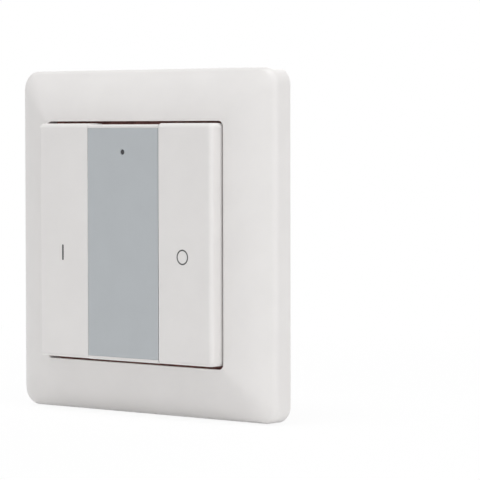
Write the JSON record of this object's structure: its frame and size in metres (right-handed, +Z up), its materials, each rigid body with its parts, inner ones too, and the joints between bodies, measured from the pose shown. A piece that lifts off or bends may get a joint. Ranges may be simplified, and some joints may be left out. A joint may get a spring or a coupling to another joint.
{
  "type": "wireless remote wall switch",
  "caption": "Square wall-mounted radio switch: a surround frame with curved sides holds a raised insert whose keys rock inwards either side of a grey strip, on a screw-slotted wall plate.",
  "frame": {"origin": "centre of the wall plate's back, on the wall", "axes": "+X right as seen from the front, +Y into the wall, +Z up; the keys face -Y"},
  "size_m": [0.08, 0.0134, 0.08],
  "materials": {
    "white_plastic": "satin moulded",
    "grey_panel": "matt",
    "seal_rubber": "matt foam rubber",
    "smoked_lens": "polished smoked",
    "zinc_steel": "zinc plated",
    "board": "solder mask on glass laminate",
    "tinned_steel": "tin plated",
    "led_white": "translucent moulded",
    "black_plastic": "moulded",
    "capacitor_tan": "ceramic",
    "plunger_plastic": "moulded",
    "cell_metal": "nickel plated can",
    "spring_contact": "plated spring bronze"
  },
  "bodies": {
    "base": {"wall_plate": "white_plastic", "surround_frame": "white_plastic", "module_chassis": "white_plastic", "rear_cover": "white_plastic", "dust_seal": "seal_rubber", "centre_panel": "grey_panel", "light_pipe": "smoked_lens", "case_screws": "zinc_steel", "circuit_board": "board", "radio_board": "board", "radio_shield": "tinned_steel", "status_led": "led_white", "led_resistor": "black_plastic", "bulk_capacitor": "capacitor_tan", "coin_cell": "cell_metal", "battery_positive_contact": "spring_contact", "battery_negative_contact": "spring_contact", "on_switch_upper_body": "black_plastic", "on_switch_upper_terminals": "tinned_steel", "on_switch_upper_cover": "tinned_steel", "on_switch_lower_body": "black_plastic", "on_switch_lower_terminals": "tinned_steel", "on_switch_lower_cover": "tinned_steel", "off_switch_upper_body": "black_plastic", "off_switch_upper_terminals": "tinned_steel", "off_switch_upper_cover": "tinned_steel", "off_switch_lower_body": "black_plastic", "off_switch_lower_terminals": "tinned_steel", "off_switch_lower_cover": "tinned_steel"},
    "on_key": {"on_key": "white_plastic"},
    "off_key": {"off_key": "white_plastic"},
    "on_upper_plunger": {"on_switch_upper_plunger": "plunger_plastic"},
    "on_lower_plunger": {"on_switch_lower_plunger": "plunger_plastic"},
    "off_upper_plunger": {"off_switch_upper_plunger": "plunger_plastic"},
    "off_lower_plunger": {"off_switch_lower_plunger": "plunger_plastic"}
  },
  "joints": [
    {"name": "on_key_press", "type": "hinge", "parent": "base", "child": "on_key", "pos_m": [-0.0126, -0.01055, 0], "axis": [0, 0, -1], "range_deg": [0, 2.17], "stiffness_Nm_per_rad": 0.6},
    {"name": "on_upper_plunger_slide", "type": "slide", "parent": "base", "child": "on_upper_plunger", "axis": [0, 1, 0], "range_m": [0, 0.0004]},
    {"name": "on_lower_plunger_slide", "type": "slide", "parent": "base", "child": "on_lower_plunger", "axis": [0, 1, 0], "range_m": [0, 0.0004]},
    {"name": "off_key_press", "type": "hinge", "parent": "base", "child": "off_key", "pos_m": [0.0126, -0.01055, 0], "axis": [0, 0, 1], "range_deg": [0, 2.17], "stiffness_Nm_per_rad": 0.6},
    {"name": "off_upper_plunger_slide", "type": "slide", "parent": "base", "child": "off_upper_plunger", "axis": [0, 1, 0], "range_m": [0, 0.0004]},
    {"name": "off_lower_plunger_slide", "type": "slide", "parent": "base", "child": "off_lower_plunger", "axis": [0, 1, 0], "range_m": [0, 0.0004]}
  ],
  "couplings": [
    {"joint": "on_upper_plunger_slide", "follows": "on_key_press", "m_per_rad": 0.0079},
    {"joint": "on_lower_plunger_slide", "follows": "on_key_press", "m_per_rad": 0.0079},
    {"joint": "off_upper_plunger_slide", "follows": "off_key_press", "m_per_rad": 0.0079},
    {"joint": "off_lower_plunger_slide", "follows": "off_key_press", "m_per_rad": 0.0079}
  ]
}
